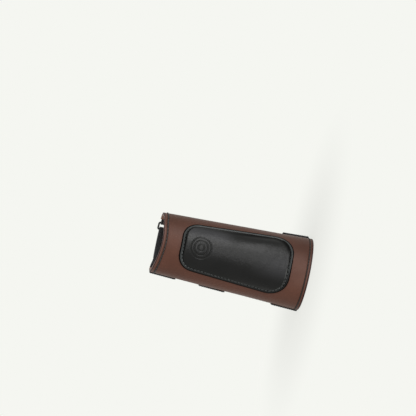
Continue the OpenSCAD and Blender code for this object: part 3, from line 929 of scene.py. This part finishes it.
def black_cover():
    """Smooth black leather, waxed: a fine pore and shallow waves, with painted highlights, grey
    over the middle of the elbow half, on the +X shoulder near the wrist, on the rim's lit side
    and in glints near the elbow end, and painted shade, matt and dark, in the fold, on the +X
    wall and along the outer rim."""
    finish = Finish("black_cover")
    flat, side, up, rim = finish.laid_out()
    cloud = finish.noise(flat, 30, 3)
    # A painted highlight: grey over the middle of the elbow half.
    elbow_half_highlight = (side + 3).size().step(18, 4) * up.step(80, 35)
    # A painted highlight on the +X shoulder near the wrist end.
    wrist_shoulder_highlight = side.band(9, 16, 20, 28) * up.step(90, 112) * rim.step(4.5, 6)
    lit_side = side.step(-14, 2, 0.1, 1).or_more(up.step(138, 150))
    # A painted highlight: the rim's grey band, only on the lit side.
    rim_highlight = rim.band(1.5, 2.1, 3.2, 3.7) * lit_side
    # Painted glints: light specks on the crest past the groove, on the -X side near the elbow
    # end.
    crest_glints = rim.band(4.7, 5.2, 5.8, 6.6) * up.step(46, 32) * side.step(10, -4)
    crest_glints = crest_glints * finish.noise(flat, 400).step(0.38, 0.58)
    dye = finish.dyed(cloud, 0.3, 0.7, (6, 6, 6), (12, 12, 12), [
        (elbow_half_highlight * 0.7, (46, 46, 48)),
        (wrist_shoulder_highlight * 0.9, (50, 50, 52)),
        (rim_highlight * 0.8, (66, 69, 69)),
        (crest_glints * 0.9, (92, 93, 92)),
        (rim.step(1.5, 0.9), (3, 3, 3))])
    waxed = finish.shader(
        Base_Color=dye, Roughness=cloud.step(0.3, 0.8, 0.34, 0.42),
        Normal=finish.grain(flat, 1300, 3000, 0.4, 0.05 * mm, 120, 0.3 * mm),
        Specular_IOR_Level=0.225)
    # Painted shade: a matt dark diffuse replaces the waxed leather in the fold, along the outer
    # rim, which is also dyed nearly black, and on the +X wall of the elbow half.
    shade_matt = finish.node("ShaderNodeBsdfDiffuse", inputs={"Color": tone(13, 13, 13)})
    fold_shade = rim.band(2.9, 3.4, 4.3, 4.8)
    wall = rim.band(4.2, 4.6, 7, 11) * side.step(10, 20) * up.step(120, 70)
    painted_shade_share = (fold_shade + rim.step(1.6, 1.1)).or_more(wall * 0.85)
    return finish.shown_by(finish.either(painted_shade_share, waxed, shade_matt))


dress(patch, black_cover(), ["patch_cover", "patch_foam"])

patch_thread, patch_stitch, thread_drop = 0.8 * mm, 2.9 * mm, 0.46 * mm
in_groove = patch_loop(rim_w + groove_w / 2)
# The grey of this thread is a painted sheen on dark thread, which gives way to near black on the
# +X side.
grey_thread = thread_finish("grey_thread", (62, 64, 65), (104, 108, 108), 0.5, (24, 24, 25))
sewn("patch_thread", [sewn_line(in_groove[:, 0], rim_h - thread_drop, in_groove[:, 1])], True,
     stitch_pitch, patch_stitch, patch_thread, grey_thread, "black_leather")


# Tabs. Each is a short piece of black webbing folded round the inner bar of a ring, with both
# legs sewn on the face of the leather by a box of stitches.

strap_t, wire_r = 1.2 * mm, 1.1 * mm
tab_t, tab_reach, tab_play = 1.1 * mm, 7 * mm, 0.35 * mm
ring_pitch, fold_play, fold_shift = 9 * mm, 1.1 * mm, 0.4 * mm
hinge_gap, edge_clear = 0.6 * mm, 1.6 * mm
side_turn, end_turn, end_reach = 0.97, 0.9, 0.6
pile_t, pile_gap, inner_gap = 0.9 * mm, 0.3 * mm, 0.15 * mm
tail_lens = {"wrist": 36 * mm, "middle": 42 * mm, "elbow": 50 * mm}
tail_rate_at = math.radians(20)
fold_r = wire_r + fold_play + strap_t / 2
loop_r = wire_r + tab_play + tab_t / 2
strap_free = inner_face + inner_gap + strap_t / 2
ring_level = strap_free + fold_r
loop_level = strap_free + strap_t / 2 + layer_gap + pile_t / 2
hook_level = loop_level + pile_t + pile_gap
tail_level = hook_level + pile_t / 2 + layer_gap + strap_t / 2
half_turn = np.linspace(-math.pi / 2, math.pi / 2, 25)


class Closure:
    """The angles and directions that one strap, its tab and its ring share."""

    def __init__(self, name):
        self.name = name
        self.z = strap_places[name]
        self.tail = tail_lens[name]
        self.edge_mid = face_angle(panel_half(self.z), self.z)
        self.edge_far = max(face_angle(panel_half(self.z + e * strap_w), self.z)
                            for e in (-0.5, 0.5))
        self.bar = self.edge_far + self.turn(tab_reach, self.edge_far)
        self.fold = self.bar + self.turn(ring_pitch + fold_shift, self.bar)
        self.fold_along = -along(self.fold, self.z)
        self.fold_out = outward(self.fold, self.z)
        self.ring_dir = -along((self.bar + self.fold) / 2, self.z)

    def turn(self, length, t):
        """The angle of a length round the face near angle t."""
        return length / face_rate(t, self.z)

    def fold_centre(self, z):
        return round_sleeve(self.fold, ring_level, z)

    def inner_bar(self, z):
        return self.fold_centre(z) + fold_shift * self.fold_along + ring_pitch * self.ring_dir

    def hinge(self):
        return (self.fold_centre(self.z) + (fold_r + strap_t / 2) * self.fold_out
                - hinge_gap / 2 * self.fold_along)

    def tail_angle(self, x):
        """The angle at a length x along the tail, at the rate that holds past the fold."""
        return self.fold + self.turn(x, self.fold + tail_rate_at)


closures = [Closure(name) for name in strap_places]


def ribbon(name, centre, across, thick, relief):
    """A band along the rows of a grid of centre points, its sides and ends rounded down to
    a thin edge."""
    normal = np.cross(np.gradient(centre, axis=0), np.gradient(centre, axis=1))
    normal /= np.linalg.norm(normal, axis=-1, keepdims=True)
    run = length_along(centre[:, len(across) // 2])
    to_side = across[-1] - np.abs(across)[None, :]
    to_end = np.minimum(run, run[-1] - run)[:, None]
    side_round = np.sqrt(1 - np.clip(1 - to_side / (thick / 2), 0, side_turn) ** 2)
    end_round = np.sqrt(1 - np.clip(1 - to_end / (end_reach * thick), 0, end_turn) ** 2)
    half = ((thick / 2 + relief) * side_round * end_round)[..., None] * normal
    flat = np.stack(np.broadcast_arrays(run[:, None], across[None, :]), -1)
    return slab(name, centre + half, centre - half, flat, np.minimum(to_side, to_end))


def across_band(width, ribs, per_rib=6):
    """Places across a band and its ribs' height there, 0 to 1."""
    across = np.linspace(-width / 2, width / 2, ribs * per_rib + 1)
    return across, 0.5 - 0.5 * np.cos(2 * math.pi * ribs * (across / width + 0.5))


tab_ribs, tab_rib_h, weft_pitch = 14, 0.1 * mm, 1.3 * mm
tab_across, tab_rib = across_band(strap_w, tab_ribs, 5)


def tab_grid(c):
    """Centre points of a tab: outer leg, round the bar, inner leg."""
    z = c.z + tab_across
    edge = c.edge_far + c.turn(edge_clear, c.edge_far)
    settled = c.bar - c.turn(wire_r, c.bar)
    back = c.edge_mid - c.turn(tab_laps[c.name], c.edge_mid)
    t = np.linspace(back, c.bar, 44)[:-1, None]
    bar, bar_along, bar_out = c.inner_bar(z)[None], along(c.bar, c.z), outward(c.bar, c.z)

    def leg(side):
        level = layer_gap + tab_t / 2 + (tab_t + layer_gap if side > 0 else 0)
        straight = (bar + side * loop_r * bar_out
                    - ((c.bar - t) * face_rate(c.bar, c.z))[..., None] * bar_along)
        return mix(round_sleeve(t, level, z[None]), straight,
                   ease((t - edge) / (settled - edge))[..., None])

    a = half_turn[::-1, None, None]
    bend = bar + loop_r * (np.cos(a) * bar_along + np.sin(a) * bar_out)
    return np.concatenate([leg(1), bend, leg(-1)[::-1]])


def crossed(finish, flat, rib_pitch, thread_pitch, sway):
    """The waves of a band's ribs and of the threads across them, which sway with the ribs."""
    x, y, _ = finish.parts(flat)
    ribs = (y * (2 * math.pi / rib_pitch)).sine()
    return ribs, (x * (2 * math.pi / thread_pitch) + ribs * sway).sine()


def webbing_finish():
    """Black nylon webbing: a plain weave of flat bundles."""
    finish = Finish("webbing")
    flat = finish.held("flat")
    warp, weft = crossed(finish, flat, strap_w / tab_ribs / 2, weft_pitch, 1.5)
    weave, fuzz = (warp + weft) * 0.5, finish.noise(flat, 2600, 3)
    return finish.surface(
        Base_Color=finish.dyed(weave + fuzz * 0.6, -0.5, 1.1, (9, 9, 10), (54, 54, 57)),
        Roughness=0.7, Normal=finish.raised(weave + fuzz * 0.4, 0.12 * mm), Sheen_Weight=0.15)


webbing = webbing_finish()
for c in closures:
    tab = ribbon("webbing_tab_" + c.name, tab_grid(c), tab_across, tab_t - tab_rib_h,
                 (tab_rib - 0.5) * tab_rib_h)
    dress(tab, webbing, ["tab_" + c.name])


# Rings. Each is a rectangle of steel wire, welded and finished in black satin. It hangs in its
# tab by the inner bar, and the strap turns back over its outer bar.

def wire_finish():
    finish = Finish("black_wire")
    place = finish.place()
    scuff = finish.noise(place, 700, 4).step(0.58, 0.72)
    return finish.surface(
        Base_Color=finish.blend(scuff * 0.5, (34, 34, 36), (92, 92, 95)), Metallic=scuff * 0.6,
        Roughness=finish.noise(place, 300).step(0.3, 0.7, 0.3, 0.42),
        Normal=finish.raised(finish.noise(place, 1500), 0.02 * mm))


wire = wire_finish()
for c in closures:
    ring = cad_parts["ring_" + c.name]
    ring.data.materials.clear()
    ring.data.materials.append(wire)


# Straps. Each is a band of black ribbed elastic. One end is sewn on the leather's face, level
# with its corner at the wrist and the elbow, and the band runs over the edge, across the open
# back and up through the ring.

strap_ribs, strap_rib_h, thread_pitch = 24, 0.08 * mm, 0.75 * mm
strap_core_t = strap_t - 0.12 * mm
strap_on, climb = layer_gap + strap_t / 2, 8 * mm
strap_across, strap_rib = across_band(strap_w, strap_ribs)


def strap_grid(c):
    """Centre points of a strap, from its sewn end to the bottom of the fold."""
    far_edge = 2 * math.pi - c.edge_mid
    start = far_edge + c.turn(strap_lap, c.edge_mid)
    edge = 2 * math.pi - c.edge_far - c.turn(edge_clear, c.edge_far)
    settled = edge - c.turn(climb, edge)
    tip = c.tail_angle(c.tail)
    t = np.linspace(start, c.fold, 110)[:, None]
    z = (c.z + strap_across)[None] + strap_leans[c.name] * ease((t - tip) / (edge - tip))
    return round_sleeve(t, mix(strap_on, strap_free, ease((edge - t) / (edge - settled))), z)


def elastic_finish():
    """Black elastic: ribs of rubber covered in knitted yarn, with fine threads across."""
    finish = Finish("elastic")
    flat = finish.held("flat")
    ribs, threads = crossed(finish, flat, strap_w / strap_ribs, thread_pitch, 0.8)
    fuzz = finish.noise(flat, 3200, 3)
    return finish.surface(
        Base_Color=finish.dyed(
            threads * 0.25 - ribs * 0.35 + fuzz, 0.05, 1.0, (8, 8, 9), (60, 60, 63)),
        Roughness=0.8, Normal=finish.raised(threads * 0.5 + fuzz, 0.1 * mm), Sheen_Weight=0.2)


elastic = elastic_finish()
for c in closures:
    strap = ribbon("elastic_strap_" + c.name, strap_grid(c), strap_across, strap_core_t,
                   strap_rib * strap_rib_h)
    dress(strap, elastic, ["strap_" + c.name])


# Tails. The same band goes on over the ring's outer bar and back on itself. The fold stays on
# the ring, and the tail comes down from it over the strap.

tail_drop = 11 * mm
bend_from, bend_len = 0.3 * mm, 4.5 * mm


def tail_grid(c):
    """Centre points of the fold over the bar and of the tail, to its tip."""
    z = c.z + strap_across
    a = half_turn[:, None, None]
    fold = c.fold_centre(z)[None] + fold_r * (np.cos(a) * c.fold_along + np.sin(a) * c.fold_out)
    x = np.linspace(0, c.tail, 52)[1:, None]
    level = mix(ring_level + fold_r, tail_level, ease(x / tail_drop))
    return np.concatenate([fold, round_sleeve(c.tail_angle(x), level, z[None])])


for c in closures:
    tail = ribbon("elastic_tail_" + c.name, tail_grid(c), strap_across, strap_core_t,
                  strap_rib * strap_rib_h)
    dress(tail, elastic, ["tail_" + c.name], body=None)
    start = c.hinge() - c.fold_along * bend_from
    start - c.fold_along * bend_len
    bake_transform(tail)


# Hook and loop. A tape of stiff nylon hooks is sewn under each tail, and a longer tape of
# brushed loops on the strap below it. Both are a woven back with its pile standing off it.

hook_len, tip_len, loop_margin = 20 * mm, 5 * mm, 2 * mm
tape_t, tape_rib_h, pile_inset, pile_margin = 0.35 * mm, 0.04 * mm, 2 * mm, 0.8 * mm
tape_w = strap_w - 2 * pile_inset
tape_across, tape_rib = across_band(tape_w, 30, 4)
pile_rng = np.random.default_rng(11)


def pile_shape(name, start, start_handle, end_handle, end, sides):
    """A tree that plants one bent filament on every point of its guide."""
    shape = Grower(name, ["Height", "Radius"])
    filament = shape.bow(
        "GeometryNodeCurvePrimitiveBezierSegment", shape.given.other("Height"),
        Start=start, Start_Handle=start_handle, End_Handle=end_handle, End=end)
    points = shape.node("GeometryNodeMeshToPoints", inputs={0: shape.given})
    shape.planted(points, filament, sides, shape.way("lead"))
    return shape


def pile_points(name, c, level, x1, x2, pitch, jitter, side):
    """A guide of loose points over a tape, with the ways that each filament stands and leans."""
    x = np.arange(x1 + pile_margin, x2 - pile_margin, pitch)
    w = np.arange(pile_margin - tape_w / 2, tape_w / 2 - pile_margin, pitch)
    x, w = (g.ravel() for g in np.meshgrid(x, w, indexing="ij"))
    x = x + pile_rng.uniform(-jitter, jitter, x.shape)
    w = w + pile_rng.uniform(-jitter, jitter, w.shape)
    t = c.tail_angle(x)
    mesh = bpy.data.meshes.new(name)
    mesh.from_pydata(round_sleeve(t, level, c.z + w).tolist(), [], [])
    lean = pile_rng.uniform(-math.pi, math.pi, x.shape) if jitter > 0 else (
        math.pi / 2 * np.sign(np.sin(np.arange(len(x)) * 0.7)))
    hold_ways(mesh, "off", side * outward(t, c.z + w))
    hold_ways(mesh, "lead", np.cos(lean)[:, None] * along(t, c.z)
              + np.sin(lean)[:, None] * np.array([0, 0, 1]))
    return mesh


def pile_finish(name, dark, light, rough):
    finish = Finish(name)
    patchy = finish.noise(finish.place(), 900, 3)
    return finish.surface(Base_Color=finish.dyed(patchy, 0.35, 0.7, dark, light),
                          Roughness=rough, Normal=finish.raised(patchy, 0.05 * mm))


def tape(c, kind, level, side, x1, x2, body, pitch, jitter, shape, high, radius, yarn):
    """One tape along the tail from x1 to x2. Its pile stands outwards where side is 1 and
    inwards where side is -1."""
    level = level - side * (pile_t - tape_t) / 2
    x = np.linspace(x1, x2, 40)[:, None]
    back = ribbon(f"{kind}_back_{c.name}",
                  round_sleeve(c.tail_angle(x), level, (c.z + tape_across)[None]),
                  tape_across, tape_t, tape_rib * tape_rib_h)
    dress(back, webbing, [f"{kind}_{c.name}"], body)
    points = pile_points(kind + "_points", c, level + side * tape_t / 2, x1, x2,
                         pitch, jitter, side)
    grown(f"{kind}s_{c.name}", points, shape, {"Height": high, "Radius": radius},
          yarn, body)


hooks = pile_shape("hooks", (0, -0.1), (0, 1.1), (0.75, 1.2), (0.6, 0.5), 4)
loop_pile = pile_shape("loops", (-0.45, -0.1), (-0.9, 1.25), (0.9, 1.25), (0.45, -0.1), 3)
hook_nylon = pile_finish("hook_nylon", (20, 20, 22), (46, 46, 49), 0.35)
loop_yarn = pile_finish("loop_yarn", (18, 18, 19), (42, 42, 44), 0.85)
for c in closures:
    hook_end = c.tail - tip_len
    tape(c, "hook", hook_level, -1, hook_end - hook_len, hook_end, c.name + "_tail",
         pitch=1.0 * mm, jitter=0, shape=hooks, high=0.5 * mm, radius=0.09 * mm,
         yarn=hook_nylon)
    tape(c, "loop", loop_level, 1, hook_end - hook_len - loop_margin, c.tail, "sleeve",
         pitch=0.8 * mm, jitter=0.3 * mm, shape=loop_pile, high=0.45 * mm, radius=0.06 * mm,
         yarn=loop_yarn)


# Box stitches. The sewn ends of the straps and tabs and the edges of the hook tapes are held
# by small boxes of the same black thread, one row a side.

box_thread, box_inset, box_points = 0.55 * mm, 1.7 * mm, 13
box_stitch = (2.7 * mm, 2.2 * mm, box_thread)
thread_up, hook_box_in, hook_box_out = 0.1 * box_thread, 0.9 * mm, 0.6 * mm


def box_line(x0, x1, y0, y1, place):
    """A closed row round a rectangle. place turns its two coordinates into points and ways."""
    corners = np.array([(x0, y0), (x1, y0), (x1, y1), (x0, y1), (x0, y0)])
    return place(*np.concatenate([np.linspace(a, b, box_points, endpoint=False)
                                  for a, b in zip(corners, corners[1:])]).T)


sleeve_boxes = []
on_strap = layer_gap + strap_t + thread_up
on_tab = 2 * (layer_gap + tab_t) + thread_up
on_tail = tail_level + strap_t / 2 + thread_up
for c in closures:
    low, high = c.z - strap_w / 2 + box_inset, c.z + strap_w / 2 - box_inset
    half, lean = panel_half(c.z), strap_leans[c.name]
    sleeve_boxes += [
        box_line(box_inset - half, strap_lap - box_inset - half, low + lean, high + lean,
                 lambda s, z: sewn_line(s, on_strap, z)),
        box_line(half - box_inset, half - tab_laps[c.name] + box_inset, low, high,
                 lambda s, z: sewn_line(s, on_tab, z))]
    hook_end = c.tail - tip_len
    hook_box = box_line(
        hook_end - hook_len + hook_box_in, hook_end - hook_box_in,
        low + pile_inset - hook_box_out, high - pile_inset + hook_box_out,
        lambda x, z: (round_sleeve(c.tail_angle(x), on_tail, z), outward(c.tail_angle(x), z)))
    sewn("hook_thread_" + c.name, [hook_box], True, *box_stitch, black_thread, "elastic",
         c.name + "_tail")
sewn("box_thread", sleeve_boxes, True, *box_stitch, black_thread, "webbing")
